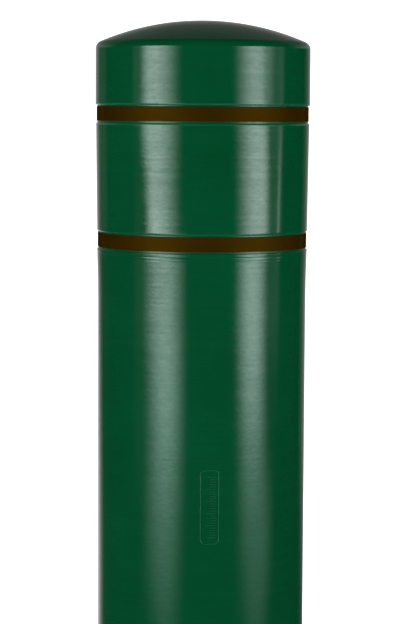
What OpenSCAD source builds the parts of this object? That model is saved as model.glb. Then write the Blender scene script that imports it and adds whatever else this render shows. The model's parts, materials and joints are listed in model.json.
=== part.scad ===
// Bollard cover sleeve: a one-piece moulded plastic tube with a domed top, which drops over a pipe post.
// Two grooves near the top carry bands of tape. Foam strips inside take up the gap to the pipe.
// Millimetres. The origin is the centre of the rim, +Z is up and the front faces -Y.

/* [Post and fit] */
// Outside diameter of the pipe post that the sleeve goes over
post_d = 168.3; // [100:0.1:300]
// Radial gap left between the pipe and the foam strips
grip_gap = 0.05; // [0.02:0.01:0.2]
// Thickness of the foam strips, as pressed between wall and pipe
foam_t = 4.7; // [3:0.1:9]
// Thickness of the adhesive under foam and tape
glue_t = 0.1; // [0.05:0.01:0.2]

/* [Sleeve] */
// Height from the rim to the top of the dome
sleeve_h = 1320; // [1150:1:1800]
// Thickness of the moulded wall
wall_t = 3.2; // [2.4:0.1:4.6]

/* [Head] */
// Rise of the dome above its edge
dome_rise = 20.5; // [12:0.5:40]
// Radius of the shoulder between the dome and the cap
shoulder_r = 7.5; // [4.8:0.1:12]
// Height of the cap, from the top of the dome to the upper groove
cap_h = 74.4; // [50:0.1:120]
// How far the cap stands out from the tube
cap_swell = 2.6; // [2.2:0.1:5]
// Height of the middle section between the two grooves
middle_h = 95.2; // [60:0.1:160]
// How far the top of the middle section stands out from the tube
middle_swell = 2.1; // [1.3:0.1:2.5]
// How far the collar and the foot of the middle section stand out from the tube
collar_swell = 0.95; // [0.4:0.05:1.6]
// Height of the straight collar under the lower groove
collar_h = 8; // [3:0.5:20]
// Height over which the collar runs out into the tube
flare_h = 44; // [20:1:80]

/* [Tape] */
// Width of the tape
tape_w = 12.7; // [8:0.1:30]
// Thickness of the tape
tape_t = 0.4; // [0.2:0.05:0.6]
// How far the face of the tape lies below the skin
tape_recess = 0.6; // [0.45:0.05:1]
// Bare strip of groove above and below a centred band
tape_margin = 1.4; // [1:0.05:4]
// Length over which the end of the tape laps its start, at the back
tape_lap = 20; // [8:1:60]
// Radius of the lips of the grooves
lip_r = 0.9; // [0.4:0.1:1.6]

/* [Foam] */
// Width of each foam strip, measured round its face
foam_w = 40; // [20:1:60]
// Length of each foam strip
foam_l = 300; // [100:5:400]
// Distance from the rim to the lower strips
foam_rim_gap = 70; // [20:1:150]
// Distance from the lower groove to the upper strips
foam_groove_gap = 90; // [60:1:200]

/* [Moulded frame] */
// Width of the raised frame on the front
frame_w = 16.8; // [10:0.1:40]
// Height of the raised frame
frame_h = 64.6; // [30:0.1:120]
// Radius of the corners of the frame
frame_r = 3.5; // [2:0.1:4.5]
// Width of the line of the frame
frame_line = 1; // [0.6:0.1:1.8]
// How far the frame stands out from the tube
frame_rise = 0.35; // [0.2:0.05:0.8]
// Distance from the top of the dome to the centre of the frame
frame_drop = 417.9; // [340:0.1:700]
// Angle of the frame round the tube, from the front towards the right
frame_turn = 5; // [-40:0.1:40]

/* [Hidden] */
// Smoothness of round surfaces
$fn = 96;
// Steps in an outline curve: groove lips, shoulder, dome and flare
lip_steps = 5;
shoulder_steps = 10;
dome_steps = 24;
flare_steps = 8;

// How far a cut runs past the faces that it opens
overrun = 1;

// How far the bands sit above the middle of their grooves, as a share of the bare margin
band_shift_share = 0.16;
// Depth of the frame's root in the wall, as a share of the wall
frame_root_share = 0.5;
// Most of a groove's depth that its rounded lips may take up
lip_most_share = 0.9;

// Radii of the post, the foam face, the bore and the tube
post_r = post_d / 2;
grip_r = post_r + grip_gap;
bore_r = grip_r + foam_t + glue_t;
tube_r = bore_r + wall_t;

// Radii of the head
collar_r = tube_r + collar_swell;
middle_r = tube_r + middle_swell;
cap_r = tube_r + cap_swell;
dome_r = (pow(cap_r, 2) + pow(dome_rise, 2)) / (2 * dome_rise);

// Heights of the head, measured from the top of the dome, so downwards is negative
dome_z = -dome_r;
shoulder_z = dome_z + sqrt(pow(dome_r - shoulder_r, 2) - pow(cap_r - shoulder_r, 2));
shoulder_angle = atan2(shoulder_z - dome_z, cap_r - shoulder_r);
groove_h = tape_w + 2 * tape_margin;
groove_depth = tape_recess + tape_t + glue_t;
edge_r = min(lip_r, lip_most_share * groove_depth);
upper_top_z = -cap_h;
upper_foot_z = upper_top_z - groove_h;
lower_top_z = upper_foot_z - middle_h;
lower_foot_z = lower_top_z - groove_h;
collar_z = lower_foot_z - collar_h;
flare_z = collar_z - flare_h;
upper_floor_r = middle_r - groove_depth;
lower_floor_r = collar_r - groove_depth;

// Places of the foam strips, as heights above the rim
lower_foam_z = foam_rim_gap;
upper_foam_z = sleeve_h + lower_foot_z - foam_groove_gap - foam_l;
foam_rows = [["lower", lower_foam_z], ["upper", upper_foam_z]];
foam_sides = [["front", -90], ["right", 0], ["back", 90], ["left", 180]];
back_angle = 90;

// Angle that an arc of length len takes up at radius r
function arc_angle(len, r) = len / r * 180 / PI;

// Points of a circular arc about c, from angle a to angle b
function arc(c, r, a, b, steps) =
    [for (i = [0 : steps]) let (t = a + (b - a) * i / steps) c + r * [cos(t), sin(t)]];

// Points of the flare, from its run-out up to the collar: it leaves the tube smoothly
function flare(r) =
    [for (i = [0 : flare_steps]) let (u = i / flare_steps)
        [r + collar_swell * pow(u, 2), flare_z + flare_h * u]];

// Lip at the foot of a section of radius r, from the groove below it up to the skin
function foot_lip(r, z) = arc([r - edge_r, z + edge_r], edge_r, -90, 0, lip_steps);

// Lip at the top of a section of radius r, from the skin in to the groove above it
function top_lip(r, z) = arc([r - edge_r, z - edge_r], edge_r, 0, 90, lip_steps);

// A list the other way round
function reversed(list) = [for (i = [len(list) - 1 : -1 : 0]) list[i]];

// Rounded shoulder and dome, from the side up to the axis, set in from the skin by inset
function crown(inset) = concat(
    arc([cap_r - shoulder_r, shoulder_z], shoulder_r - inset, 0, shoulder_angle, shoulder_steps),
    [for (i = [1 : dome_steps]) let (t = shoulder_angle + (90 - shoulder_angle) * i / dome_steps)
        [(dome_r - inset) * cos(t), dome_z + (dome_r - inset) * sin(t)]]);

// Skin of the sleeve, from the rim up to the top of the dome
skin = concat(
    [[tube_r, -sleeve_h]],
    flare(tube_r),
    top_lip(collar_r, lower_foot_z),
    [[lower_floor_r, lower_foot_z], [lower_floor_r, lower_top_z]],
    foot_lip(collar_r, lower_top_z),
    top_lip(middle_r, upper_foot_z),
    [[upper_floor_r, upper_foot_z], [upper_floor_r, upper_top_z]],
    foot_lip(cap_r, upper_top_z),
    crown(0));

// Inside of the wall, from the rim up: it follows the skin, with a soft rib behind each groove
inside = concat(
    [[bore_r, -sleeve_h]],
    flare(bore_r),
    [[collar_r - wall_t, lower_foot_z - wall_t],
        [lower_floor_r - wall_t, lower_foot_z],
        [lower_floor_r - wall_t, lower_top_z],
        [collar_r - wall_t, lower_top_z + wall_t],
        [middle_r - wall_t, upper_foot_z - wall_t],
        [upper_floor_r - wall_t, upper_foot_z],
        [upper_floor_r - wall_t, upper_top_z],
        [cap_r - wall_t, upper_top_z + wall_t]],
    crown(wall_t));

// One-piece moulding: tube, grooves, cap and dome, open at the rim, with the raised frame on its front
module sleeve_shell() {
    color("#034627") {
        translate([0, 0, sleeve_h]) rotate_extrude() polygon(concat(skin, reversed(inside)));
        raised_frame();
    }
}

// Rectangle with round corners about the origin
module round_rect(w, h, r) {
    square([w - 2 * r, h], center = true);
    square([w, h - 2 * r], center = true);
    for (x = [-1, 1], y = [-1, 1]) translate([x * (w / 2 - r), y * (h / 2 - r)]) circle(r);
}

// Line of the moulded frame, laid on the tube and rooted in its wall
module raised_frame() {
    root_r = tube_r - frame_root_share * wall_t;
    face_r = tube_r + frame_rise;
    foot_z = sleeve_h - frame_drop - frame_h;
    intersection() {
        rotate([0, 0, frame_turn]) translate([0, 0, sleeve_h - frame_drop]) rotate([90, 0, 0])
            linear_extrude(2 * tube_r) difference() {
                round_rect(frame_w, frame_h, frame_r);
                round_rect(frame_w - 2 * frame_line, frame_h - 2 * frame_line, frame_r - frame_line);
            }
        translate([0, 0, foot_z]) rotate_extrude() translate([root_r, 0])
            square([face_r - root_r, 2 * frame_h]);
    }
}

// Band of tape on a groove floor of radius floor_r: a full turn, with a second layer where its ends lap
module tape_band(floor_r, groove_z) {
    seat_r = floor_r + glue_t;
    lap_angle = arc_angle(tape_lap, seat_r);
    color("#322201") translate([0, 0, sleeve_h + groove_z + tape_margin * (1 + band_shift_share)])
        difference() {
            rotate_extrude() translate([seat_r, 0]) square([2 * tape_t, tape_w]);
            rotate([0, 0, back_angle + lap_angle / 2]) rotate_extrude(angle = 360 - lap_angle)
                translate([seat_r + tape_t, -overrun]) square([tape_t + overrun, tape_w + 2 * overrun]);
        }
}

// Tape in the groove under the cap
module upper_tape_band() {
    tape_band(upper_floor_r, upper_foot_z);
}

// Tape in the groove under the middle section
module lower_tape_band() {
    tape_band(lower_floor_r, lower_foot_z);
}

// Foam strip along the bore, centred on an angle round it, from height z up
module foam_strip(angle, z) {
    foam_angle = arc_angle(foam_w, grip_r);
    color("#2b2b2d") translate([0, 0, z]) rotate([0, 0, angle - foam_angle / 2])
        rotate_extrude(angle = foam_angle) translate([grip_r, 0]) square([foam_t, foam_l]);
}

sleeve_shell();
upper_tape_band();
lower_tape_band();
for (row = foam_rows, side = foam_sides)
    foam_strip(side[1], row[1]);
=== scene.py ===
# Bollard cover sleeve: the moulded skin, its tape bands and its foam strips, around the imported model.
# Metres. The origin is the centre of the rim, +Z is up and the front faces -Y.
import json
import math
from collections import namedtuple
import bmesh
import bpy
from mathutils import Matrix, Vector, noise


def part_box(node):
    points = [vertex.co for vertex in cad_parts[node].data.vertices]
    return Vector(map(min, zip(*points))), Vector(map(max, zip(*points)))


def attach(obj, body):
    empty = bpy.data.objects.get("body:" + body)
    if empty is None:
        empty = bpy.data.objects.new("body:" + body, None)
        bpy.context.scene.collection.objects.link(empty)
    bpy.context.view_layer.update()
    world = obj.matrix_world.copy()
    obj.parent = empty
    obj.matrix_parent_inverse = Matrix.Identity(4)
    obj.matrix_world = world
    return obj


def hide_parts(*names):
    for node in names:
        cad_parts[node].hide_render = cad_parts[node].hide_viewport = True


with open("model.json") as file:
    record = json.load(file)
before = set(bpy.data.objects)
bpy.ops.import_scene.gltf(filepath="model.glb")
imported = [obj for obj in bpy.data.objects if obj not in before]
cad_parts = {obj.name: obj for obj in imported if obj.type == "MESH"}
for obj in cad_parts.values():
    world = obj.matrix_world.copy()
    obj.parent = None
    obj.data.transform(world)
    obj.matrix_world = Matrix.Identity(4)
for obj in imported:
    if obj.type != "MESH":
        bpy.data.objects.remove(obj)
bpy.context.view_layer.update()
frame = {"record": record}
scene = bpy.context.scene
TURN = 2 * math.pi

# What the frame gives
mounts = {mount["name"]: mount for mount in frame["record"]["mounts"]}
colours = {material["slot"]: material["base_color"] for material in frame["record"]["materials"]}
shell_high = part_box("sleeve_shell")[1]
upper_tape_low, upper_tape_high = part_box("upper_tape_band")
lower_tape_low, lower_tape_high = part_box("lower_tape_band")
SLEEVE_H = shell_high.z
CAP_R = shell_high.x
GRIP_R = mounts["lower_grip"]["dims"]["r_mm"] / 1000
FOAM_BACK_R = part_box("lower_foam_right")[1].x
UPPER_TAPE_R = -upper_tape_low.y
LOWER_TAPE_R = -lower_tape_low.y

# Wall and tube
GLUE_T = 0.0001
BORE_R = FOAM_BACK_R + GLUE_T
WALL_T = 2 * (mounts["base_rim"]["pos_m"][0] - BORE_R)
TUBE_R = BORE_R + WALL_T
RIM_ROUND = 0.0005
RIM_WEAR = 1.0
SKIN_SEGMENTS = 240
SKIN_WOBBLE = 0.00016
SKIN_WOBBLE_SIZE = 0.075

# Tape in its groove. It sits a little above the middle, and its end lies on its start at the back
TAPE_T = 0.0004
TAPE_RECESS = 0.0006
TAPE_MARGIN = 0.0014
TAPE_SHIFT_SHARE = 0.16
TAPE_SHIFT = TAPE_SHIFT_SHARE * TAPE_MARGIN
TAPE_EDGE_R = 0.00015
TAPE_EDGE_WEAR = 1.0
TAPE_LAP = 0.020
TAPE_LAP_RAMP = 0.012
TAPE_LAP_RISE = TAPE_T + GLUE_T / 4
TAPE_SEGMENTS = 254
TAPE_WOBBLE = 0.00006
TAPE_WOBBLE_SIZE = 0.02
GROOVE_DEPTH = TAPE_RECESS + TAPE_T + GLUE_T

# Lips of the grooves: how far in they round off, how high each one is and how strongly a pale line of
# painted highlight lies along it, which also roughens it a little
LIP_R = 0.0009
CAP_LIP_H = 0.0013
CAP_LIP_SHEEN = 0.9
MIDDLE_TOP_LIP_H = 0.0018
MIDDLE_TOP_LIP_SHEEN = 0.8
MIDDLE_FOOT_LIP_H = 0.0014
MIDDLE_FOOT_LIP_SHEEN = 0.05
COLLAR_LIP_H = 0.0005
COLLAR_LIP_SHEEN = 0.3

# Head: heights of the grooves follow their tape
MIDDLE_R = UPPER_TAPE_R + TAPE_RECESS
COLLAR_R = LOWER_TAPE_R + TAPE_RECESS
UPPER_FLOOR_R = MIDDLE_R - GROOVE_DEPTH
LOWER_FLOOR_R = COLLAR_R - GROOVE_DEPTH
UPPER_TOP_Z = upper_tape_high.z + TAPE_MARGIN - TAPE_SHIFT
UPPER_FOOT_Z = upper_tape_low.z - TAPE_MARGIN - TAPE_SHIFT
LOWER_TOP_Z = lower_tape_high.z + TAPE_MARGIN - TAPE_SHIFT
LOWER_FOOT_Z = lower_tape_low.z - TAPE_MARGIN - TAPE_SHIFT
FLARE_H = 0.052
FLARE_Z = LOWER_FOOT_Z - FLARE_H

# Fine turned grooves round the collar: how far under the lip, and how deep
COLLAR_LINES = ((0.0033, 0.0001), (0.0062, 0.00005))
COLLAR_LINE_HALF_W = 0.0005
COLLAR_LINE_SHAPE = ((-1, 0.0), (-0.5, 0.5), (0, 1.0), (0.5, 0.5), (1, 0.0))

# Dome and shoulder
DOME_RISE = 0.0205
SHOULDER_R = 0.0075
DOME_R = (CAP_R ** 2 + DOME_RISE ** 2) / (2 * DOME_RISE)
DOME_Z = SLEEVE_H - DOME_R
SHOULDER_Z = DOME_Z + math.sqrt((DOME_R - SHOULDER_R) ** 2 - (CAP_R - SHOULDER_R) ** 2)
SHOULDER_ANGLE = math.degrees(math.atan2(SHOULDER_Z - DOME_Z, CAP_R - SHOULDER_R))

# Raised frame on the front of the tube, with a plain tick scale in it
FRAME_W = 0.0168
FRAME_H = 0.0646
FRAME_CORNER_R = 0.0035
FRAME_LINE = 0.001
FRAME_RISE = 0.00035
FRAME_DROP = 0.4179
FRAME_Z = SLEEVE_H - FRAME_DROP
FRAME_TURN = math.radians(5)
# How strongly the frame lines are painted paler, a painted highlight along the raised lines
FRAME_SHEEN = 0.6
TICKS = 26
TICK_GAP = 0.0021
TICK_LINE = 0.0008
TICK_L = 0.0090
TICK_END = 0.0055
LONG_TICK_EVERY = 5
SHORT_TICK_CUT = 0.35

# Foam strips
FOAM_W = 0.040
FOAM_ROUND = 0.0011
FOAM_SINK = 0.0004
FOAM_UNEVEN = 0.25
FOAM_BUMP_SIZE = 0.012
FOAM_STEPS = 20
FOAM_ROWS = 90
FOAM_BEND_STEPS = 4

# Steps of the meshes
EMPTY_AREA = 1e-12
MERGE_GAP = 1e-6
SHARP_ANGLE = math.radians(40)
SHADE_HOLD = 0.0005
SHADE_HOLD_SHARE = 0.25
LEAST_STRAIGHT = 4 * SHADE_HOLD
TUBE_STEP = 0.014
LIP_STEPS = 6
RIM_STEPS = 4
TAPE_EDGE_STEPS = 3
FLARE_STEPS = 12
SHOULDER_STEPS = 12
DOME_STEPS = 30
CORNER_STEPS = 8
FRAME_STEP = 0.0012
BEAD_SIDES = 10
TICK_POINTS = 5

# Patterns: most of a noise lies in the first range and nearly all of it in the wide one
NOISE_RANGE = (0.3, 0.7)
WIDE_RANGE = (0.2, 0.8)
NOISE_MIDDLE = 0.5
WOBBLE_DETAIL = 1.0

# Plastic: sizes of its patterns, and heights and strengths of the ones that raise the skin
CLOUD_SIZE = 0.09
RING_SIZE = (0.33, 0.33, 0.003)
LINE_SIZE = (0.25, 0.25, 0.006)
PEEL_SIZE = 0.003
SWIRL_SIZE = (0.038, 0.038, 0.017)
SCUFF_SIZE = (0.017, 0.017, 0.0042)
SPECKLE_SIZE = (0.006, 0.006, 0.0024)
SWIRL_H = 0.00015
SWIRL_STRENGTH = 0.6
RING_H = 0.00003
RING_STRENGTH = 0.5
PEEL_H = 0.00005
PEEL_STRENGTH = 0.5

# Plastic: the range over which a pattern shows, and its share of the colour
RING_RANGE = (0.35, 0.75)
RING_SHARE = 0.22
LINE_RANGE = (0.66, 0.74)
LINE_SHARE = 0.12
SCUFF_SHARE = 0.25
# The pale colour at the rim is rubbing; along the lips and the frame lines it is a painted highlight
RUB_AND_SHEEN_RANGE = (0.3, 0.6)
RUB_AND_SHEEN_SHARES = (0.35, 0.85)
BORE_SHARE = 0.5

# Plastic: roughness and gloss, and what each pattern adds to them. The rings fade down the tube
TUBE_ROUGH = 0.13
HEAD_ROUGH = 0.1
RING_ROUGH = (-0.02, 0.03)
SCUFF_ROUGH_RANGE = (0.5, 0.8)
SCUFF_ROUGH = 0.05
WEAR_ROUGH = 0.08
BORE_ROUGH = 0.25
GROOVE_ROUGH = 0.14
GLOSS = 0.5
RING_GLOSS = 0.08
SPECKLE_GLOSS = 0.1
GROOVE_DULL = 0.12
PLASTIC_IOR = 1.5
RIPPLE_LOW_DROP = 0.43
RIPPLE_HIGH_DROP = 0.30
RIPPLE_LOW_Z = SLEEVE_H - RIPPLE_LOW_DROP
RIPPLE_HIGH_Z = SLEEVE_H - RIPPLE_HIGH_DROP
RIPPLE_LOW_SHARE = 0.35

# Tape film: clouding, fine beads and worn edges
TAPE_CLOUD_SIZE = (0.033, 0.033, 0.011)
TAPE_BEAD_SIZE = 0.00038
TAPE_BEAD_H = 0.00003
TAPE_BEAD_STRENGTH = 0.25
TAPE_EDGE_SHARE = 0.5
TAPE_ROUGH = (0.48, 0.58)
TAPE_METAL = 0.48
TAPE_SHEEN = (0.3, 0.2, 0.1)

# Foam: pores with painted shade in them, and a dusty face
FOAM_PORE_SIZE = 0.0011
FOAM_PORE_H = 0.0003
FOAM_PORE_STRENGTH = 0.7
FOAM_PORE_RANGE = (0.0, 0.5)
FOAM_PORE_SHADE_SHARE = 0.55
FOAM_CLOUD_SIZE = 0.022
FOAM_ROUGH = (0.82, 0.95)
FOAM_GLOSS = 0.25


# Node helpers
def add(tree, kind, fill=None, **settings):
    """Adds a node, sets its properties, and fills its inputs with values or links them."""
    node = tree.nodes.new(kind)
    for key, value in settings.items():
        setattr(node, key, value)
    for key, value in (fill or {}).items():
        if isinstance(value, bpy.types.NodeSocket):
            tree.links.new(value, node.inputs[key])
        else:
            node.inputs[key].default_value = value
    return node


def sums(tree, operation, *values):
    """Output of one Math node."""
    return add(tree, "ShaderNodeMath", dict(enumerate(values)), operation=operation).outputs[0]


def ranged(tree, value, low, high, to_low=0.0, to_high=1.0, smooth=False):
    """A value moved from one range to another and kept inside it."""
    fill = {"Value": value, "From Min": low, "From Max": high, "To Min": to_low, "To Max": to_high}
    kind = "SMOOTHSTEP" if smooth else "LINEAR"
    return add(tree, "ShaderNodeMapRange", fill, interpolation_type=kind).outputs["Result"]


def between(tree, share, low, high):
    """A number between two."""
    return add(tree, "ShaderNodeMix", {"Factor": share, 2: low, 3: high}).outputs[0]


def vector(tree, x=0.0, y=0.0, z=0.0):
    """A vector from three numbers."""
    return add(tree, "ShaderNodeCombineXYZ", {0: x, 1: y, 2: z}).outputs[0]


def parts_of(tree, value):
    """The X, Y and Z of a vector."""
    return add(tree, "ShaderNodeSeparateXYZ", {0: value}).outputs


def new_tree(name, inputs):
    """A Geometry Nodes tree with named inputs: the tree, what it is given and what it gives."""
    tree = bpy.data.node_groups.new(name, "GeometryNodeTree")
    tree.interface.new_socket("Geometry", in_out="INPUT", socket_type="NodeSocketGeometry")
    for label, kind in inputs:
        tree.interface.new_socket(label, in_out="INPUT", socket_type="NodeSocket" + kind)
    tree.interface.new_socket("Geometry", in_out="OUTPUT", socket_type="NodeSocketGeometry")
    given = tree.nodes.new("NodeGroupInput").outputs
    return tree, given, tree.nodes.new("NodeGroupOutput").inputs[0]


def grow(name, mesh, tree, **values):
    """Runs a tree on a mesh and keeps the result as a plain mesh object."""
    piece = bpy.data.objects.new(name, mesh)
    scene.collection.objects.link(piece)
    modifier = piece.modifiers.new("shape", "NODES")
    modifier.node_group = tree
    for item in tree.interface.items_tree:
        key = item.name.lower().replace(" ", "_")
        if item.in_out == "INPUT" and key in values:
            modifier[item.identifier] = values[key]
    depsgraph = bpy.context.evaluated_depsgraph_get()
    result = bpy.data.meshes.new_from_object(piece.evaluated_get(depsgraph))
    piece.modifiers.remove(modifier)
    piece.data = result
    result.name = name
    return piece


def stored(tree, geometry, name, value):
    """Geometry with a number kept on its points."""
    fill = {"Geometry": geometry, "Name": name, "Value": value}
    return add(tree, "GeometryNodeStoreNamedAttribute", fill, data_type="FLOAT").outputs[0]


def finish_tree(tree, geometry, material, result):
    """Ends a tree with Realize Instances and Set Material."""
    real = add(tree, "GeometryNodeRealizeInstances", {"Geometry": geometry}).outputs[0]
    painted = add(tree, "GeometryNodeSetMaterial", {"Geometry": real, "Material": material}).outputs[0]
    tree.links.new(painted, result)


# Trees
def turned_tree():
    """Turns an outline about the Z axis. A turn past a full circle climbs over its own start."""
    tree, given, result = new_tree("turned_piece", [
        ("Segments", "Int"), ("Start", "Float"), ("Turn", "Float"),
        ("Lap rise", "Float"), ("Lap ramp", "Float"),
        ("Wobble", "Float"), ("Wobble size", "Float"), ("Wobble radius", "Float"),
        ("Sharp angle", "Float"), ("Finish", "Material")])
    outline = given["Geometry"]
    count = add(tree, "GeometryNodeAttributeDomainSize", {0: outline}).outputs["Point Count"]
    fill = {"Vertices X": sums(tree, "ADD", given["Segments"], 1), "Vertices Y": count}
    grid = add(tree, "GeometryNodeMeshGrid", fill).outputs["Mesh"]
    index = add(tree, "GeometryNodeInputIndex").outputs[0]
    row = sums(tree, "MODULO", index, count)
    column = sums(tree, "FLOOR", sums(tree, "DIVIDE", index, count))

    def from_outline(value, kind):
        fill = {"Geometry": outline, "Value": value, "Index": row}
        return add(tree, "GeometryNodeSampleIndex", fill, data_type=kind, clamp=True).outputs[0]

    place = add(tree, "GeometryNodeInputPosition").outputs[0]
    point = parts_of(tree, from_outline(place, "FLOAT_VECTOR"))
    swept = sums(tree, "MULTIPLY", sums(tree, "DIVIDE", column, given["Segments"]), given["Turn"])
    angle = sums(tree, "ADD", swept, given["Start"])
    ramp_start = sums(tree, "SUBTRACT", TURN, given["Lap ramp"])
    climb = ranged(tree, swept, ramp_start, TURN, 0.0, given["Lap rise"], smooth=True)
    radius = sums(tree, "ADD", point["X"], climb)

    def on_circle(distance):
        across = sums(tree, "MULTIPLY", distance, sums(tree, "COSINE", angle))
        along = sums(tree, "MULTIPLY", distance, sums(tree, "SINE", angle))
        return vector(tree, across, along, point["Z"])

    shrink = sums(tree, "DIVIDE", 1.0, given["Wobble size"])
    fill = {"Vector": on_circle(radius), "Scale": shrink, "Detail": WOBBLE_DETAIL}
    ripple = add(tree, "ShaderNodeTexNoise", fill).outputs[0]
    lift = sums(tree, "MULTIPLY", sums(tree, "SUBTRACT", ripple, NOISE_MIDDLE), given["Wobble"])
    off_axis = ranged(tree, point["X"], 0.0, given["Wobble radius"])
    moved = on_circle(sums(tree, "MULTIPLY_ADD", lift, off_axis, radius))
    shape = add(tree, "GeometryNodeSetPosition", {"Geometry": grid, "Position": moved}).outputs[0]
    for name in ("wear", "inside"):
        held = add(tree, "GeometryNodeInputNamedAttribute", {"Name": name}, data_type="FLOAT").outputs[0]
        shape = stored(tree, shape, name, from_outline(held, "FLOAT"))
    area = add(tree, "GeometryNodeInputMeshFaceArea").outputs[0]
    fill = {"Geometry": shape, "Selection": sums(tree, "LESS_THAN", area, EMPTY_AREA)}
    shape = add(tree, "GeometryNodeDeleteGeometry", fill, domain="FACE").outputs[0]
    fill = {"Geometry": shape, "Distance": MERGE_GAP}
    shape = add(tree, "GeometryNodeMergeByDistance", fill).outputs[0]
    edge_turn = add(tree, "GeometryNodeInputMeshEdgeAngle").outputs["Unsigned Angle"]
    sharp = sums(tree, "GREATER_THAN", edge_turn, given["Sharp angle"])
    fill = {"Geometry": shape, "Shade Smooth": True}
    shape = add(tree, "GeometryNodeSetShadeSmooth", fill).outputs[0]
    fill = {"Geometry": shape, "Selection": sharp, "Shade Smooth": False}
    shape = add(tree, "GeometryNodeSetShadeSmooth", fill, domain="EDGE").outputs[0]
    finish_tree(tree, shape, given["Finish"], result)
    return tree


def raised_frame_tree():
    """Raised lines of the moulded frame and its tick scale, drawn flat and then laid on the tube."""
    tree, given, result = new_tree("raised_frame", [
        ("Width", "Float"), ("Height", "Float"), ("Corner", "Float"),
        ("Line", "Float"), ("Rise", "Float"), ("Wear", "Float"),
        ("Ticks", "Int"), ("Tick gap", "Float"), ("Tick line", "Float"),
        ("Tick length", "Float"), ("Tick end", "Float"),
        ("Tube radius", "Float"), ("Turn", "Float"), ("Centre height", "Float"), ("Finish", "Material")])

    def bead(path, width):
        fill = {"Radius": sums(tree, "DIVIDE", width, 2), "Resolution": BEAD_SIDES}
        profile = add(tree, "GeometryNodeCurvePrimitiveCircle", fill).outputs[0]
        fill = {"Curve": path, "Profile Curve": profile, "Fill Caps": True}
        return add(tree, "GeometryNodeCurveToMesh", fill).outputs[0]

    fill = {"Width": given["Width"], "Height": given["Height"]}
    box = add(tree, "GeometryNodeCurvePrimitiveQuadrilateral", fill).outputs[0]
    fill = {"Curve": box, "Radius": given["Corner"], "Count": CORNER_STEPS}
    box = add(tree, "GeometryNodeFilletCurve", fill, mode="POLY").outputs[0]
    fill = {"Curve": box, "Length": FRAME_STEP}
    box = add(tree, "GeometryNodeResampleCurve", fill, mode="LENGTH").outputs[0]

    back = vector(tree, sums(tree, "MULTIPLY", given["Tick length"], -1))
    bar = add(tree, "GeometryNodeCurvePrimitiveLine", {"End": back}).outputs[0]
    bar = add(tree, "GeometryNodeResampleCurve", {"Curve": bar, "Count": TICK_POINTS}).outputs[0]
    rise = sums(tree, "MULTIPLY", sums(tree, "SUBTRACT", given["Ticks"], 1), given["Tick gap"])
    start = vector(tree, given["Tick end"], sums(tree, "DIVIDE", rise, -2))
    step = vector(tree, 0.0, given["Tick gap"])
    fill = {"Count": given["Ticks"], "Start Location": start, "Offset": step}
    ladder = add(tree, "GeometryNodeMeshLine", fill).outputs[0]
    index = add(tree, "GeometryNodeInputIndex").outputs[0]
    short = sums(tree, "MINIMUM", sums(tree, "MODULO", index, LONG_TICK_EVERY), 1)
    length = sums(tree, "SUBTRACT", 1.0, sums(tree, "MULTIPLY", short, SHORT_TICK_CUT))
    fill = {"Points": ladder, "Instance": bead(bar, given["Tick line"]),
            "Scale": vector(tree, length, 1.0, 1.0)}
    ticks = add(tree, "GeometryNodeInstanceOnPoints", fill).outputs[0]

    both = add(tree, "GeometryNodeJoinGeometry")
    for geometry in (bead(box, given["Line"]), ticks):
        tree.links.new(geometry, both.inputs[0])
    flat = add(tree, "GeometryNodeRealizeInstances", {"Geometry": both.outputs[0]}).outputs[0]
    spot = parts_of(tree, add(tree, "GeometryNodeInputPosition").outputs[0])
    angle = sums(tree, "ADD", sums(tree, "DIVIDE", spot["X"], given["Tube radius"]), given["Turn"])
    sink = sums(tree, "SUBTRACT", given["Rise"], sums(tree, "DIVIDE", given["Line"], 2))
    radius = sums(tree, "ADD", sums(tree, "ADD", spot["Z"], sink), given["Tube radius"])
    across = sums(tree, "MULTIPLY", radius, sums(tree, "SINE", angle))
    ahead = sums(tree, "MULTIPLY", sums(tree, "MULTIPLY", radius, sums(tree, "COSINE", angle)), -1)
    height = sums(tree, "ADD", spot["Y"], given["Centre height"])
    fill = {"Geometry": flat, "Position": vector(tree, across, ahead, height)}
    shape = add(tree, "GeometryNodeSetPosition", fill).outputs[0]
    # The lines carry a share of painted highlight, which the plastic turns pale
    shape = stored(tree, shape, "wear", given["Wear"])
    fill = {"Geometry": shape, "Shade Smooth": True}
    shape = add(tree, "GeometryNodeSetShadeSmooth", fill).outputs[0]
    finish_tree(tree, shape, given["Finish"], result)
    return tree


# Outlines
def bend(centre_r, centre_z, radius, start, end, steps, wear=0.0, tall=1.0):
    """Outline points on an arc: distance from the axis, height, and the share of rubbing and painted
    highlight they carry. Angles are in degrees.
    """
    angles = [math.radians(start + (end - start) * i / steps) for i in range(steps + 1)]
    return [(centre_r + radius * math.cos(a), centre_z + radius * tall * math.sin(a), wear)
            for a in angles]


def straight(start, end, step):
    """Outline points between two corners, with one close to each that keeps the shading tight."""
    length = math.dist(start[:2], end[:2])
    count = max(2, round(length / step))
    hold = min(SHADE_HOLD, SHADE_HOLD_SHARE * length) / length
    shares = [hold] + [i / count for i in range(1, count)] + [1 - hold]
    return [tuple(a + (b - a) * t for a, b in zip(start[:2], end[:2])) + (0.0,) for t in shares]


def joined(*stretches):
    """One outline from its curved stretches, with straight ones filled in between."""
    points = list(stretches[0])
    for stretch in stretches[1:]:
        if math.dist(points[-1][:2], stretch[0][:2]) > LEAST_STRAIGHT:
            points += straight(points[-1], stretch[0], TUBE_STEP)
        points += stretch
    return points


def swell(z):
    """How far the collar stands out from the tube at a height."""
    return (COLLAR_R - TUBE_R) * max(0.0, (z - FLARE_Z) / FLARE_H) ** 2


def flare(radius, under):
    """The tube's swell up to a distance under the lip of the collar."""
    heights = [FLARE_Z + (FLARE_H - under) * i / FLARE_STEPS for i in range(FLARE_STEPS + 1)]
    return [(radius + swell(z), z, 0.0) for z in heights]


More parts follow.
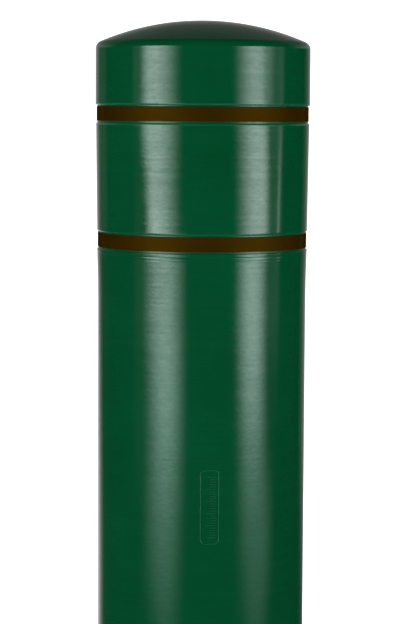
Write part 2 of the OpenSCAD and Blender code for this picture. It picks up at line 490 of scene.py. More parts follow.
def crown(inset):
    """Shoulder and dome, from the side to the axis."""
    shoulder = bend(
        CAP_R - SHOULDER_R, SHOULDER_Z, SHOULDER_R - inset, 0, SHOULDER_ANGLE, SHOULDER_STEPS)
    dome = bend(0, DOME_Z, DOME_R - inset, SHOULDER_ANGLE, 90, DOME_STEPS)
    dome[-1] = (0.0,) + dome[-1][1:]
    return shoulder + dome[1:]


def top_lip(radius, z, height, wear):
    """Rounded lip where a section ends under a groove."""
    return bend(radius - LIP_R, z - height, LIP_R, 0, 90, LIP_STEPS, wear, height / LIP_R)


def foot_lip(radius, z, height, wear):
    """Rounded lip where a section starts over a groove."""
    return bend(radius - LIP_R, z + height, LIP_R, -90, 0, LIP_STEPS, wear, height / LIP_R)


def collar_lines():
    """Fine turned grooves under the lip of the collar, from the lowest up."""
    points = []
    for under, depth in reversed(COLLAR_LINES):
        for side, share in COLLAR_LINE_SHAPE:
            z = LOWER_FOOT_Z - under + side * COLLAR_LINE_HALF_W
            points.append((TUBE_R + swell(z) - depth * share, z, 0.0))
    return points


def skin_outline():
    """Outside of the sleeve, from the rim up to the top of the dome."""
    return joined(
        bend(TUBE_R - RIM_ROUND, RIM_ROUND, RIM_ROUND, -90, 0, RIM_STEPS, RIM_WEAR),
        flare(TUBE_R, COLLAR_LINES[-1][0] + 2 * COLLAR_LINE_HALF_W),
        collar_lines(),
        top_lip(COLLAR_R, LOWER_FOOT_Z, COLLAR_LIP_H, COLLAR_LIP_SHEEN),
        [(LOWER_FLOOR_R, LOWER_FOOT_Z, 0.0)],
        [(LOWER_FLOOR_R, LOWER_TOP_Z, 0.0)],
        foot_lip(COLLAR_R, LOWER_TOP_Z, MIDDLE_FOOT_LIP_H, MIDDLE_FOOT_LIP_SHEEN),
        top_lip(MIDDLE_R, UPPER_FOOT_Z, MIDDLE_TOP_LIP_H, MIDDLE_TOP_LIP_SHEEN),
        [(UPPER_FLOOR_R, UPPER_FOOT_Z, 0.0)],
        [(UPPER_FLOOR_R, UPPER_TOP_Z, 0.0)],
        foot_lip(CAP_R, UPPER_TOP_Z, CAP_LIP_H, CAP_LIP_SHEEN),
        crown(0))


def bore_outline():
    """Inside of the wall, from the rim up to the dome, with a soft rib behind each groove."""
    return joined(
        bend(BORE_R + RIM_ROUND, RIM_ROUND, RIM_ROUND, 270, 180, RIM_STEPS, RIM_WEAR),
        flare(BORE_R, WALL_T),
        [(LOWER_FLOOR_R - WALL_T, LOWER_FOOT_Z, 0.0)],
        [(LOWER_FLOOR_R - WALL_T, LOWER_TOP_Z, 0.0)],
        [(COLLAR_R - WALL_T, LOWER_TOP_Z + WALL_T, 0.0)],
        [(MIDDLE_R - WALL_T, UPPER_FOOT_Z - WALL_T, 0.0)],
        [(UPPER_FLOOR_R - WALL_T, UPPER_FOOT_Z, 0.0)],
        [(UPPER_FLOOR_R - WALL_T, UPPER_TOP_Z, 0.0)],
        [(CAP_R - WALL_T, UPPER_TOP_Z + WALL_T, 0.0)],
        crown(WALL_T))


def tape_outline(face_r, low, high):
    """Section through a band of tape, all the way round, with worn edges."""
    front, back = face_r - TAPE_EDGE_R, face_r - TAPE_T + TAPE_EDGE_R
    foot, top = low + TAPE_EDGE_R, high - TAPE_EDGE_R
    corners = ((front, foot, -90), (front, top, 0), (back, top, 90), (back, foot, 180))
    loop = joined(*[bend(r, z, TAPE_EDGE_R, start, start + 90, TAPE_EDGE_STEPS, TAPE_EDGE_WEAR)
                    for r, z, start in corners])
    return loop + loop[:1]


def outline_mesh(name, points, inside_from=None):
    """An outline as loose points that carry their share of rubbing and painted highlight, and which side
    of the wall they are on.
    """
    mesh = bpy.data.meshes.new(name)
    mesh.from_pydata([(r, 0.0, z) for r, z, wear in points], [], [])
    wear = mesh.attributes.new("wear", "FLOAT", "POINT")
    wear.data.foreach_set("value", [point[2] for point in points])
    inside = mesh.attributes.new("inside", "FLOAT", "POINT")
    first = len(points) if inside_from is None else inside_from
    inside.data.foreach_set("value", [float(i >= first) for i in range(len(points))])
    return mesh


# Materials
def new_material(name):
    """A node material: the material, its tree, its shader and Object coordinates."""
    material = bpy.data.materials.new(name)
    material.use_nodes = True
    tree = material.node_tree
    shader = tree.nodes["Principled BSDF"]
    place = add(tree, "ShaderNodeTexCoord").outputs["Object"]
    return material, tree, shader, place


def grain(tree, place, size, detail=2.0, rough=0.5):
    """Noise from 0 to 1. Its size in metres is one number, or three where it is drawn out."""
    sizes = size if isinstance(size, tuple) else (size, size, size)
    fill = {"Vector": place, "Scale": tuple(1 / value for value in sizes)}
    scaled = add(tree, "ShaderNodeMapping", fill).outputs[0]
    fill = {"Vector": scaled, "Scale": 1.0, "Detail": detail, "Roughness": rough}
    return add(tree, "ShaderNodeTexNoise", fill).outputs[0]


def cells(tree, place, size):
    """Distance to the middle of the nearest cell, for beads and foam."""
    return add(tree, "ShaderNodeTexVoronoi", {"Vector": place, "Scale": 1 / size}).outputs["Distance"]


def mixed(tree, share, low, high):
    """A colour between two."""
    node = add(tree, "ShaderNodeMix", {"Factor": share}, data_type="RGBA")
    for key, value in ((6, low), (7, high)):
        if isinstance(value, bpy.types.NodeSocket):
            tree.links.new(value, node.inputs[key])
        else:
            node.inputs[key].default_value = tuple(value) + (1.0,)
    return node.outputs[2]


def shade(colour, red, green, blue):
    """A colour with each channel scaled."""
    return (colour[0] * red, colour[1] * green, colour[2] * blue)


def attribute(tree, name):
    """A number that the piece's own mesh carries."""
    return add(tree, "ShaderNodeAttribute", attribute_name=name).outputs["Fac"]


def bumped(tree, height, strength, distance, normal=None):
    """A normal raised by a pattern."""
    fill = {"Height": height, "Strength": strength, "Distance": distance}
    if normal:
        fill["Normal"] = normal
    return add(tree, "ShaderNodeBump", fill).outputs[0]


def dress(tree, shader, colour, roughness, normal):
    """Gives a shader its colour, roughness and normal."""
    for key, value in (("Base Color", colour), ("Roughness", roughness), ("Normal", normal)):
        tree.links.new(value, shader.inputs[key])


def green_plastic():
    """Glossy moulded plastic: mottled green, drawn lines round it, orange peel, a rim worn paler, and
    lips and frame lines painted paler as a painted highlight.
    """
    material, tree, shader, place = new_material("green_plastic")
    green = colours["green_plastic"]
    deep, bright = shade(green, 0.6, 0.98, 0.98), shade(green, 0.8, 1.18, 1.34)
    drawn_dark, drawn_pale = shade(green, 0.5, 0.8, 0.75), shade(green, 3.0, 1.35, 1.6)
    rub_and_sheen_pale, bore_dark = shade(green, 5.0, 1.7, 2.3), shade(green, 0.9, 0.75, 0.75)
    cloud = grain(tree, place, CLOUD_SIZE, detail=4.0, rough=0.6)
    rings = grain(tree, place, RING_SIZE, detail=1.0)
    lines = grain(tree, place, LINE_SIZE, detail=0.0)
    peel = grain(tree, place, PEEL_SIZE)
    swirl = grain(tree, place, SWIRL_SIZE, detail=3.0, rough=0.55)
    scuff = grain(tree, place, SCUFF_SIZE, detail=6.0, rough=0.7)
    speckle = grain(tree, place, SPECKLE_SIZE, detail=3.0, rough=0.6)
    wear = attribute(tree, "wear")
    inside = attribute(tree, "inside")
    height = parts_of(tree, place)["Z"]
    ripple = ranged(tree, height, RIPPLE_LOW_Z, RIPPLE_HIGH_Z, RIPPLE_LOW_SHARE, 1.0)
    grooves = sums(tree, "ADD", *[
        sums(tree, "COMPARE", height, (foot + top) / 2, (top - foot) / 2)
        for foot, top in ((UPPER_FOOT_Z, UPPER_TOP_Z), (LOWER_FOOT_Z, LOWER_TOP_Z))])

    colour = mixed(tree, ranged(tree, cloud, *NOISE_RANGE), deep, bright)
    colour = mixed(tree, ranged(tree, rings, *RING_RANGE, 0.0, RING_SHARE), colour, drawn_dark)
    colour = mixed(tree, ranged(tree, lines, *LINE_RANGE, 0.0, LINE_SHARE), colour, drawn_pale)
    colour = mixed(tree, ranged(tree, scuff, *NOISE_RANGE, 0.0, SCUFF_SHARE), colour, drawn_dark)
    # Painted highlight: lips and frame lines turn pale, standing in for the light their rounding catches;
    # the rim turns pale from rubbing
    rub_and_sheen = sums(tree, "MULTIPLY", wear, ranged(tree, scuff, *RUB_AND_SHEEN_RANGE, *RUB_AND_SHEEN_SHARES))
    colour = mixed(tree, rub_and_sheen, colour, rub_and_sheen_pale)
    colour = mixed(tree, sums(tree, "MULTIPLY", inside, BORE_SHARE), colour, bore_dark)

    rough = ranged(tree, height, FLARE_Z, LOWER_FOOT_Z, TUBE_ROUGH, HEAD_ROUGH)
    rough = sums(tree, "ADD", rough, ranged(tree, rings, *NOISE_RANGE, *RING_ROUGH))
    rough = sums(tree, "ADD", rough, ranged(tree, scuff, *SCUFF_ROUGH_RANGE, 0.0, SCUFF_ROUGH))
    rough = sums(tree, "MULTIPLY_ADD", wear, WEAR_ROUGH, rough)
    rough = sums(tree, "MULTIPLY_ADD", inside, BORE_ROUGH, rough)
    rough = sums(tree, "MULTIPLY_ADD", grooves, GROOVE_ROUGH, rough)

    ring_gloss = ranged(tree, rings, *WIDE_RANGE, -RING_GLOSS, RING_GLOSS)
    gloss = sums(tree, "ADD", GLOSS, sums(tree, "MULTIPLY", ripple, ring_gloss))
    speckle_gloss = ranged(tree, speckle, *WIDE_RANGE, -SPECKLE_GLOSS, SPECKLE_GLOSS)
    gloss = sums(tree, "ADD", gloss, speckle_gloss)
    gloss = sums(tree, "SUBTRACT", gloss, sums(tree, "MULTIPLY", grooves, GROOVE_DULL))

    normal = bumped(tree, swirl, sums(tree, "MULTIPLY", ripple, SWIRL_STRENGTH), SWIRL_H)
    normal = bumped(tree, rings, sums(tree, "MULTIPLY", ripple, RING_STRENGTH), RING_H, normal)
    normal = bumped(tree, peel, PEEL_STRENGTH, PEEL_H, normal)
    dress(tree, shader, colour, rough, normal)
    tree.links.new(gloss, shader.inputs["Specular IOR Level"])
    shader.inputs["IOR"].default_value = PLASTIC_IOR
    return material


def brown_tape():
    """Reflective tape: dark brown film with a fine bead texture and worn edges."""
    material, tree, shader, place = new_material("brown_tape")
    brown = shade(colours["brown_tape"], 1.5, 1.28, 1.05)
    dull, bright = shade(brown, 0.93, 0.92, 0.8), shade(brown, 1.06, 1.07, 1.2)
    edge_dark = shade(brown, 0.75, 0.75, 1.0)
    cloud = grain(tree, place, TAPE_CLOUD_SIZE, detail=4.0, rough=0.6)
    beads = cells(tree, place, TAPE_BEAD_SIZE)
    rub_and_sheen = sums(tree, "MULTIPLY", attribute(tree, "wear"), TAPE_EDGE_SHARE)
    colour = mixed(tree, ranged(tree, cloud, *NOISE_RANGE), dull, bright)
    colour = mixed(tree, rub_and_sheen, colour, edge_dark)
    rough = ranged(tree, cloud, *NOISE_RANGE, *TAPE_ROUGH)
    dress(tree, shader, colour, rough, bumped(tree, beads, TAPE_BEAD_STRENGTH, TAPE_BEAD_H))
    shader.inputs["Metallic"].default_value = TAPE_METAL
    shader.inputs["Specular IOR Level"].default_value = 0.0
    shader.inputs["Specular Tint"].default_value = TAPE_SHEEN + (1.0,)
    return material


def charcoal_foam():
    """Closed-cell foam: charcoal, matt, with fine cells darkened inside by painted shade, and a dusty
    face.
    """
    material, tree, shader, place = new_material("charcoal_foam")
    grey = colours["foam"]
    dark, dusty = shade(grey, 0.75, 0.75, 0.75), shade(grey, 1.3, 1.3, 1.28)
    pore_shade = shade(grey, 0.4, 0.4, 0.4)
    pores = cells(tree, place, FOAM_PORE_SIZE)
    cloud = grain(tree, place, FOAM_CLOUD_SIZE, detail=5.0, rough=0.6)
    colour = mixed(tree, ranged(tree, cloud, *NOISE_RANGE), dark, dusty)
    # Painted shade: darker at the middle of each pore
    colour = mixed(tree, ranged(tree, pores, *FOAM_PORE_RANGE, FOAM_PORE_SHADE_SHARE, 0.0), colour, pore_shade)
    rough = ranged(tree, cloud, *NOISE_RANGE, *FOAM_ROUGH)
    dress(tree, shader, colour, rough, bumped(tree, pores, FOAM_PORE_STRENGTH, FOAM_PORE_H))
    shader.inputs["Specular IOR Level"].default_value = FOAM_GLOSS
    return material


# Pieces
def close_ends(piece):
    """Fills the open ends of a turned strip."""
    shape = bmesh.new()
    shape.from_mesh(piece.data)
    bmesh.ops.holes_fill(shape, edges=[edge for edge in shape.edges if edge.is_boundary], sides=0)
    bmesh.ops.recalc_face_normals(shape, faces=shape.faces)
    shape.to_mesh(piece.data)
    shape.free()


def fit(piece, node=None):
    """Puts a piece on the body, and hides the solid it stands for."""
    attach(piece, "root")
    if node:
        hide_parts(node)


def foam_section(half_w, depth):
    """Section of a foam strip, all the way round: how far along the wall and how far off it."""
    quarter = [math.radians(90 * i / FOAM_BEND_STEPS) for i in range(FOAM_BEND_STEPS + 1)]
    span, rise = half_w - FOAM_ROUND, depth - FOAM_ROUND
    edge = [(span + FOAM_ROUND * math.cos(a), rise + FOAM_ROUND * math.sin(a)) for a in quarter]
    face = [(span - 2 * span * i / FOAM_STEPS, depth) for i in range(1, FOAM_STEPS)]
    other_edge = [(-along, off) for along, off in reversed(edge)]
    back = [(-half_w + 2 * half_w * i / FOAM_STEPS, 0.0) for i in range(FOAM_STEPS)]
    return [(half_w, 0.0)] + edge + face + other_edge + back


def foam_rows(half_l):
    """Heights along a foam strip, each with how far its round end draws the section in there."""
    quarter = [math.radians(90 * i / FOAM_BEND_STEPS) for i in range(FOAM_BEND_STEPS + 1)]
    end = [(half_l - FOAM_ROUND * (1 - math.cos(a)), FOAM_ROUND * (1 - math.sin(a))) for a in quarter]
    reach = half_l - FOAM_ROUND
    middle = [(reach * (2 * i / FOAM_ROWS - 1), 0.0) for i in range(1, FOAM_ROWS)]
    return [(-height, inset) for height, inset in end] + middle + end[::-1]


def foam_strip(name, angle, low, high, material):
    """A strip of foam along the bore: soft edges, sides pulled in, face slightly crowned and uneven."""
    depth = FOAM_BACK_R - GRIP_R
    half_w, half_l = FOAM_W / 2, (high - low) / 2
    shape = bmesh.new()
    loops = []
    for height, inset in foam_rows(half_l):
        waist = FOAM_SINK * (1 - (height / half_l) ** 2)
        loop = []
        for along, off in foam_section(half_w, depth):
            drawn_in = 1 - (inset + waist * off / depth) / half_w
            out = off * (1 - inset / depth)
            if off == depth:
                spot = Vector((along, height, angle)) / FOAM_BUMP_SIZE
                uneven = FOAM_UNEVEN * (1 + noise.noise(spot))
                out -= FOAM_SINK * ((along / half_w) ** 2 + uneven)
            turn = angle + along * drawn_in / GRIP_R
            r = FOAM_BACK_R - out
            spot = (r * math.cos(turn), r * math.sin(turn), (low + high) / 2 + height)
            loop.append(shape.verts.new(spot))
        loops.append(loop)
    for first, second in zip(loops, loops[1:]):
        for i, corner in enumerate(first):
            j = (i + 1) % len(first)
            shape.faces.new((corner, first[j], second[j], second[i]))
    shape.faces.new(loops[0])
    shape.faces.new(loops[-1])
    bmesh.ops.recalc_face_normals(shape, faces=shape.faces)
    for face in shape.faces:
        face.smooth = True
    mesh = bpy.data.meshes.new(name)
    shape.to_mesh(mesh)
    shape.free()
    mesh.materials.append(material)
    strip = bpy.data.objects.new(name, mesh)
    scene.collection.objects.link(strip)
    return strip


green = green_plastic()
brown = brown_tape()
charcoal = charcoal_foam()
turned = turned_tree()

skin = skin_outline()
wall = skin + bore_outline()[::-1]
wall_outline = outline_mesh("wall_outline", wall + wall[:1], len(skin))
shell = grow("sleeve_moulding", wall_outline, turned,
             segments=SKIN_SEGMENTS, start=0.0, turn=TURN, lap_rise=0.0, lap_ramp=1.0,
             wobble=SKIN_WOBBLE, wobble_size=SKIN_WOBBLE_SIZE, wobble_radius=TUBE_R,
             sharp_angle=SHARP_ANGLE, finish=green)
fit(shell, "sleeve_shell")

raised = grow("raised_frame_line", bpy.data.meshes.new("raised_frame"), raised_frame_tree(),
              width=FRAME_W - FRAME_LINE, height=FRAME_H - FRAME_LINE, corner=FRAME_CORNER_R,
              line=FRAME_LINE, rise=FRAME_RISE, ticks=TICKS, tick_gap=TICK_GAP, tick_line=TICK_LINE,
              tick_length=TICK_L, tick_end=TICK_END, wear=FRAME_SHEEN,
              tube_radius=TUBE_R, turn=FRAME_TURN, centre_height=FRAME_Z, finish=green)
fit(raised)

for name, face_r, low, high in (("upper_tape", UPPER_TAPE_R, upper_tape_low.z, upper_tape_high.z),
                                ("lower_tape", LOWER_TAPE_R, lower_tape_low.z, lower_tape_high.z)):
    section = outline_mesh(name + "_section", tape_outline(face_r, low, high))
    lap = TAPE_LAP / face_r
    band = grow(name, section, turned,
                segments=TAPE_SEGMENTS, start=math.pi / 2 - lap / 2, turn=TURN + lap,
                lap_rise=TAPE_LAP_RISE, lap_ramp=TAPE_LAP_RAMP / face_r,
                wobble=TAPE_WOBBLE, wobble_size=TAPE_WOBBLE_SIZE, wobble_radius=TUBE_R,
                sharp_angle=SHARP_ANGLE, finish=brown)
    close_ends(band)
    fit(band, name + "_band")

for row in ("lower", "upper"):
    for side, degrees in (("front", -90), ("right", 0), ("back", 90), ("left", 180)):
        node = f"{row}_foam_{side}"
        low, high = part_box(node)
        strip = foam_strip(f"{row}_foam_strip_{side}", math.radians(degrees), low.z, high.z, charcoal)
        fit(strip, node)

# Camera
CAMERA_ASIDE = 0.0057
CAMERA_AWAY = 2.048
CAMERA_DROP = 0.0795
CAMERA_PLACE = Vector((CAMERA_ASIDE, -CAMERA_AWAY, SLEEVE_H - CAMERA_DROP))
CAMERA_DIP = math.radians(4.974)
CAMERA_ROLL = math.radians(0.34)
CAMERA_LENS = 133.15
camera_data = bpy.data.cameras.new("camera")
camera_data.lens = CAMERA_LENS
camera = bpy.data.objects.new("camera", camera_data)
scene.collection.objects.link(camera)
camera.matrix_world = (Matrix.Translation(CAMERA_PLACE)
                       @ Matrix.Rotation(math.pi / 2 - CAMERA_DIP, 4, "X")
                       @ Matrix.Rotation(CAMERA_ROLL, 4, "Z"))
scene.camera = camera
scene.view_settings.view_transform = "Standard"

# Light panels: tall soft boxes on each side, one for the head, one above it and one for the tube
PANEL_AWAY = 1.5
PANEL_STEP = 0.75
PANEL_TINT = (1.0, 1.22, 1.15)
LOW_PANEL_TINT = (1.0, 1.55, 1.42)
PANEL_TINT_HEIGHTS = (0.6, 1.0)
HEAD_LOW = 1.0
SHINE_TOP = 1.6
PANEL_TOP = 1.9
TUBE_HEIGHTS = (0.38, 0.49, 0.638, 0.752, 0.86, 0.917, HEAD_LOW)
HEAD_HEIGHTS = (HEAD_LOW, 1.035, 1.055, 1.08, 1.13, 1.20, 1.25, SHINE_TOP)
TOP_HEIGHTS = (SHINE_TOP, PANEL_TOP)

# A lobe of light: its level, the angles of its two fades, and by height its share and the fades' leans
Lobe = namedtuple("Lobe", "level fade_in fade_out shares leans_in leans_out")


def upright(level, fade_in, fade_out, shares):
    """A lobe whose fades don't lean."""
    return Lobe(level, fade_in, fade_out, shares, (0,) * len(shares), (0,) * len(shares))


def top_of(lobe):
    """A lobe carried on upwards as it is at its last two heights."""
    return lobe._replace(
        shares=lobe.shares[-2:], leans_in=lobe.leans_in[-2:], leans_out=lobe.leans_out[-2:])


def eased(value, start, end):
    """0 at start and 1 at end, with soft ends."""
    t = min(1.0, max(0.0, (value - start) / (end - start)))
    return t * t * (3 - 2 * t)


def lobe_light(lobe, degrees, row):
    """Light of a lobe at one of its heights and at an angle from the front, right positive."""
    rising = eased(degrees - lobe.leans_in[row], *lobe.fade_in)
    falling = 1 - eased(degrees - lobe.leans_out[row], *lobe.fade_out)
    return lobe.level * lobe.shares[row] * rising * falling


def panel_glow():
    """Light of the panels, by the brightness that each point of them carries."""
    material = bpy.data.materials.new("panel_glow")
    material.use_nodes = True
    tree = material.node_tree
    tree.nodes.remove(tree.nodes["Principled BSDF"])
    height = parts_of(tree, add(tree, "ShaderNodeTexCoord").outputs["Object"])["Z"]
    tint = mixed(tree, ranged(tree, height, *PANEL_TINT_HEIGHTS), LOW_PANEL_TINT, PANEL_TINT)
    fill = {"Color": tint, "Strength": attribute(tree, "glow")}
    glow = add(tree, "ShaderNodeEmission", fill).outputs[0]
    tree.links.new(glow, tree.nodes["Material Output"].inputs["Surface"])
    return material


def light_panel(name, material, heights, lobes, shines=True):
    """A curved panel round the object, unseen by the camera. One that doesn't shine shows in no gloss."""
    first = min(lobe.fade_in[0] + min(lobe.leans_in) for lobe in lobes)
    last = max(lobe.fade_out[1] + max(lobe.leans_out) for lobe in lobes)
    columns = math.ceil((last - first) / PANEL_STEP)
    rows = len(heights)
    spots, levels = [], []
    for i in range(columns + 1):
        degrees = first + (last - first) * i / columns
        angle = math.radians(degrees)
        for row, height in enumerate(heights):
            spots.append((PANEL_AWAY * math.sin(angle), -PANEL_AWAY * math.cos(angle), height))
            levels.append(sum(lobe_light(lobe, degrees, row) for lobe in lobes))
    corners = [i * rows + row for i in range(columns) for row in range(rows - 1)]
    mesh = bpy.data.meshes.new(name)
    mesh.from_pydata(spots, [], [(c, c + rows, c + rows + 1, c + 1) for c in corners])
    mesh.attributes.new("glow", "FLOAT", "POINT").data.foreach_set("value", levels)
    mesh.materials.append(material)
    panel = bpy.data.objects.new(name, mesh)
    scene.collection.objects.link(panel)
    panel.visible_camera = False
    panel.visible_glossy = shines


left_head = Lobe(
    level=5.65, fade_in=(-71, -57), fade_out=(-48.5, -18),
    shares=(1.3, 1.45, 1.14, 0.9, 0.97, 1, 0.96, 0.94),
    leans_in=(6.5, 6.5, 6.5, 6, 4, 0, 1.5, 1.5),
    leans_out=(-2, -2, -2, -2, -1, 0, -2.5, -2.5))
right_head = Lobe(
    level=5.6, fade_in=(31, 58), fade_out=(66.5, 80.5),
    shares=(0.97, 0.97, 0.97, 0.95, 0.96, 0.99, 0.85, 0.85),
    leans_in=(2, 2, 2, 2, 1, -1, -1.5, -1.5),
    leans_out=(-1, -1, -1, -1, -2, -3.8, -10, -10))
right_streak = Lobe(
    level=3, fade_in=(86, 88.5), fade_out=(89, 91.5),
    shares=(0.6, 0.6, 0.6, 0.55, 0.4, 0.12, 0.03, 0.03),
    leans_in=(0, 0, 0, 0, 0, -1, -2, -2),
    leans_out=(0, 0, 0, 0, 1, 2.5, 2.5, 2.5))
left_tube = Lobe(
    level=4.15, fade_in=(-72, -44), fade_out=(-38.5, -14),
    shares=(0, 0.126, 0.31, 0.685, 1.08, 1, 0.96),
    leans_in=(11, 11, 3, 6.5, 6.5, 3.5, 2.5),
    leans_out=(-3, -3, 0.5, 1, 0.7, 0.5, 0.5))
right_tube = Lobe(
    level=4.85, fade_in=(33.5, 54), fade_out=(59, 80),
    shares=(0, 0.103, 0.167, 0.41, 0.92, 1, 1),
    leans_in=(9, 9, 1.5, 2, 0.5, -0.7, -0.7),
    leans_out=(4, 4, 10, 0.5, -1.5, -2, -2))
left_toe = upright(0.3, (-79, -74), (-66, -60), (0.5, 0.5, 0.3, 0.3, 0.2, 0.2, 1, 1))
right_haze = upright(0.32, (74, 80), (90, 96), (1,) * len(HEAD_HEIGHTS))
right_cap_tail = upright(1.8, (58, 66), (70, 82), (0, 0, 0, 0, 0, 0, 1, 1))
left_tube_toe = upright(0.22, (-80, -72), (-64, -55), (0, 0, 0, 0.4, 0.2, 0.6, 1))
right_tube_haze = upright(0.27, (74, 80), (88, 94), (0, 0, 0, 0, 0.3, 0.8, 1))

glow = panel_glow()
left_head_lobes = [left_head, left_toe]
right_head_lobes = [right_head, right_streak, right_haze, right_cap_tail]
left_top_lobes = [top_of(left_head), top_of(left_toe)]
right_top_lobes = [top_of(right_head), top_of(right_cap_tail)]
light_panel("left_head_panel", glow, HEAD_HEIGHTS, left_head_lobes)
light_panel("right_head_panel", glow, HEAD_HEIGHTS, right_head_lobes)
light_panel("left_top_panel", glow, TOP_HEIGHTS, left_top_lobes, shines=False)
light_panel("right_top_panel", glow, TOP_HEIGHTS, right_top_lobes, shines=False)
light_panel("left_tube_panel", glow, TUBE_HEIGHTS, [left_tube, left_tube_toe])
light_panel("right_tube_panel", glow, TUBE_HEIGHTS, [right_tube, right_tube_haze])

# World. Ranges are parts of a direction, from -1 to 1: X to the right, Y to the back and Z up
FILL_LEVEL = 0.21
FILL_LEAN = 0.7
FILL_FADE_Z = (0.1, 0.8)
FILL_TOP_SHARE = 0.3
BACK_FILL = 1.3
BACK_FILL_Y = (0.2, 0.9)

# Backdrop as the two edges of the object reflect it: a ramp of light, and a haze beside it
BACKDROP_Y = (0.3, 0.5)
BACKDROP_TOP_Z = (0.06, 0.1)
BACKDROP_MIDDLE_X = (-0.12, 0.05)
LEFT_HAZE = 0.08
LEFT_HAZE_X = (-0.83, -0.78)
LEFT_HAZE_Z = (-0.09, -0.05)
LEFT_HAZE_SHARES = (0.1, 1.0)
LEFT_RAMP = 0.57
LEFT_RAMP_Z = (-0.18, -0.06)
LEFT_RAMP_STARTS_X = (-0.67, -0.58)
LEFT_RAMP_STOPS_X = (-0.3, -0.15)
LEFT_SHARES = (2.0, 1.1)
RIGHT_HAZE = 0.06
RIGHT_HAZE_X = (0.67, 0.6)
RIGHT_HAZE_Z = (-0.2, -0.15)
RIGHT_HAZE_SHARES = (0.2, 1.0)
RIGHT_RAMP = 0.58
RIGHT_RAMP_X = (0.56, -0.1)
RIGHT_RAMP_Z = (-0.2, -0.13)
RIGHT_SHARES = (0.5, 1.15)

# Light above the backdrop, which the dome reflects
OVERHEAD_Y = (0.3, 0.6)
OVERHEAD_Z = (0.1, 0.4)
OVERHEAD_LEVELS = (0.35, 0.113)
OVERHEAD_DIM = 0.05
OVERHEAD_DIM_Z = (0.5, 0.8)


def left_edge_light(tree, x, z):
    """Backdrop for the left edge of the object."""
    haze = ranged(tree, x, *LEFT_HAZE_X, 0.0, LEFT_HAZE)
    haze = sums(tree, "MULTIPLY", haze, ranged(tree, z, *LEFT_HAZE_Z, *LEFT_HAZE_SHARES))
    start = ranged(tree, z, *LEFT_RAMP_Z, *LEFT_RAMP_STARTS_X)
    stop = ranged(tree, z, *LEFT_RAMP_Z, *LEFT_RAMP_STOPS_X)
    light = sums(tree, "ADD", haze, ranged(tree, x, start, stop, 0.0, LEFT_RAMP))
    return sums(tree, "MULTIPLY", light, ranged(tree, z, *LEFT_RAMP_Z, *LEFT_SHARES))


def right_edge_light(tree, x, z):
    """Backdrop for the right edge of the object."""
    haze = ranged(tree, x, *RIGHT_HAZE_X, 0.0, RIGHT_HAZE)
    haze = sums(tree, "MULTIPLY", haze, ranged(tree, z, *RIGHT_HAZE_Z, *RIGHT_HAZE_SHARES))
    light = sums(tree, "ADD", haze, ranged(tree, x, *RIGHT_RAMP_X, 0.0, RIGHT_RAMP))
    return sums(tree, "MULTIPLY", light, ranged(tree, z, *RIGHT_RAMP_Z, *RIGHT_SHARES))


def reflected_light(tree, x, y, z):
    """What the gloss of the object shows: the backdrop, and above it the overhead light."""
    left, right = left_edge_light(tree, x, z), right_edge_light(tree, x, z)
    backdrop = between(tree, ranged(tree, x, *BACKDROP_MIDDLE_X), left, right)
    backdrop = sums(tree, "MULTIPLY", backdrop, ranged(tree, y, *BACKDROP_Y))
    backdrop = sums(tree, "MULTIPLY", backdrop, ranged(tree, z, *BACKDROP_TOP_Z, 1.0, 0.0))
    overhead = ranged(tree, z, *OVERHEAD_Z, *OVERHEAD_LEVELS)
    overhead = sums(tree, "SUBTRACT", overhead, ranged(tree, z, *OVERHEAD_DIM_Z, 0.0, OVERHEAD_DIM))
    overhead = sums(tree, "MULTIPLY", overhead, ranged(tree, z, *BACKDROP_TOP_Z))
    overhead = sums(tree, "MULTIPLY", overhead, ranged(tree, y, *OVERHEAD_Y))
    return sums(tree, "ADD", backdrop, overhead)


def fill_light(tree, x, y, z):
    """Soft light on the object: more from the left and the back, less from above."""
    level = sums(tree, "SUBTRACT", FILL_LEVEL, sums(tree, "MULTIPLY", x, FILL_LEVEL * FILL_LEAN))
    level = sums(tree, "ADD", level, ranged(tree, y, *BACK_FILL_Y, 0.0, BACK_FILL))
    return sums(tree, "MULTIPLY", level, ranged(tree, z, *FILL_FADE_Z, 1.0, FILL_TOP_SHARE))


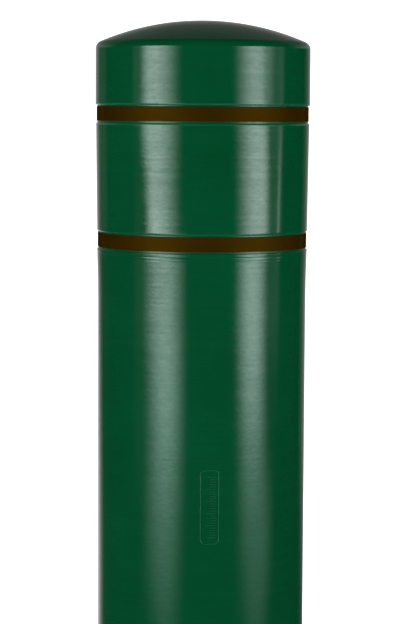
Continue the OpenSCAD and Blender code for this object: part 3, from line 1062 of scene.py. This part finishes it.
def studio_world():
    """White for the camera, soft fill on the object, and a pale backdrop in its reflections."""
    world = bpy.data.worlds.new("studio")
    scene.world = world
    world.cycles.sampling_method = "NONE"
    world.use_nodes = True
    tree = world.node_tree
    path = add(tree, "ShaderNodeLightPath").outputs
    x, y, z = parts_of(tree, add(tree, "ShaderNodeTexCoord").outputs["Generated"])
    glossy = sums(tree, "MAXIMUM", path["Is Glossy Ray"], path["Is Transmission Ray"])
    level = between(tree, glossy, fill_light(tree, x, y, z), reflected_light(tree, x, y, z))
    level = sums(tree, "MAXIMUM", level, path["Is Camera Ray"])
    background = tree.nodes["Background"]
    background.inputs["Color"].default_value = (1.0, 1.0, 1.0, 1.0)
    tree.links.new(level, background.inputs["Strength"])


studio_world()

# Floor: pale, with the object's shadow, running out to white
FLOOR_R = 2.4
FLOOR_SIDES = 96
FLOOR_COLOUR = (0.84, 0.77, 0.79, 1.0)
FLOOR_ROUGH = 0.9
FLOOR_FADE = (0.45, 1.1)
FLOOR_LIFT = 0.45
FLOOR_BOUNCE = 0.6


def floor_material():
    """Pale floor that turns white with distance for the camera, and gives some light back."""
    material, tree, shader, place = new_material("pale_floor")
    shader.inputs["Base Color"].default_value = FLOOR_COLOUR
    shader.inputs["Roughness"].default_value = FLOOR_ROUGH
    shader.inputs["Specular IOR Level"].default_value = 0.0
    away = add(tree, "ShaderNodeVectorMath", {0: place}, operation="LENGTH").outputs["Value"]
    path = add(tree, "ShaderNodeLightPath").outputs
    white = add(tree, "ShaderNodeEmission", {"Strength": 1.0}).outputs[0]
    share = ranged(tree, away, *FLOOR_FADE, FLOOR_LIFT, 1.0, smooth=True)
    share = sums(tree, "MULTIPLY", share, path["Is Camera Ray"])
    share = sums(tree, "MULTIPLY_ADD", path["Is Diffuse Ray"], FLOOR_BOUNCE, share)
    fill = {0: share, 1: shader.outputs[0], 2: white}
    surface = add(tree, "ShaderNodeMixShader", fill).outputs[0]
    tree.links.new(surface, tree.nodes["Material Output"].inputs["Surface"])
    material.cycles.emission_sampling = "NONE"
    return material


def pale_floor():
    """Round floor under the object."""
    shape = bmesh.new()
    bmesh.ops.create_circle(shape, cap_ends=True, radius=FLOOR_R, segments=FLOOR_SIDES)
    mesh = bpy.data.meshes.new("floor")
    shape.to_mesh(mesh)
    shape.free()
    mesh.materials.append(floor_material())
    floor = bpy.data.objects.new("floor", mesh)
    scene.collection.objects.link(floor)


pale_floor()
